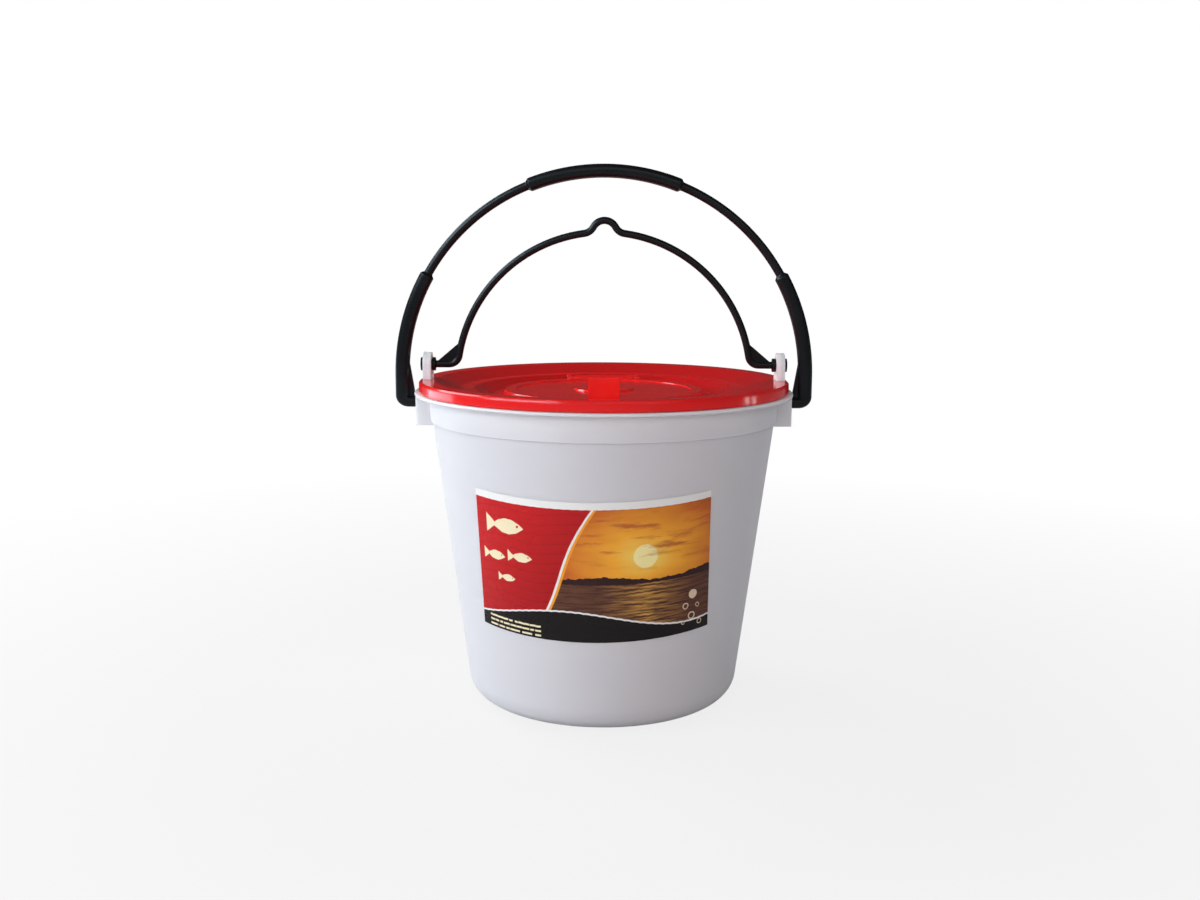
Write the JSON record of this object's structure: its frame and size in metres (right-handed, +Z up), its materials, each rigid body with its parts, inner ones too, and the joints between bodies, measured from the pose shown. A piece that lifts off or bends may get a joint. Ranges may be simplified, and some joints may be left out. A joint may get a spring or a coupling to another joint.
{
  "type": "bait bucket",
  "caption": "Two-part live-bait bucket: outer water bucket, drained inner bucket that lifts out, dished lid with a hinged hatch and lift tab, and a swinging bail on each bucket.",
  "frame": {"origin": "centre of the outer bucket's base, on the ground plane", "axes": "+Z up through both bails' crowns; -Y faces the label and the hatch's lift tab; bail and hatch axes run along X"},
  "size_m": [0.3104, 0.28, 0.3964],
  "materials": {
    "white_polyethylene": "natural translucent white moulded polyethylene, waxy satin",
    "red_plastic": "glossy red moulded plastic",
    "black_plastic": "semi-gloss black moulded plastic",
    "printed_label": "glossy printed vinyl sticker with a white border"
  },
  "bodies": {
    "outer": {"outer_bucket": "white_polyethylene", "label": "printed_label"},
    "outer_handle": {"outer_bail": "black_plastic"},
    "inner": {"inner_bucket": "white_polyethylene", "lid": "red_plastic"},
    "inner_handle": {"inner_bail": "black_plastic"},
    "hatch_cover": {"hatch": "red_plastic"}
  },
  "joints": [
    {"name": "outer_bail_swing", "type": "hinge", "parent": "outer", "child": "outer_handle", "pos_m": [0, 0, 0.2225], "axis": [1, 0, 0], "range_deg": [-133, 133]},
    {"name": "inner_bucket_lift", "type": "slide", "parent": "outer", "child": "inner", "axis": [0, 0, 1], "range_m": [0, 0.025]},
    {"name": "inner_bail_swing", "type": "hinge", "parent": "inner", "child": "inner_handle", "pos_m": [0, 0, 0.25], "axis": [1, 0, 0], "range_deg": [-96, 96]},
    {"name": "hatch_hinge", "type": "hinge", "parent": "inner", "child": "hatch_cover", "pos_m": [0, 0.0776, 0.2317], "axis": [-1, 0, 0], "range_deg": [0, 48]}
  ]
}
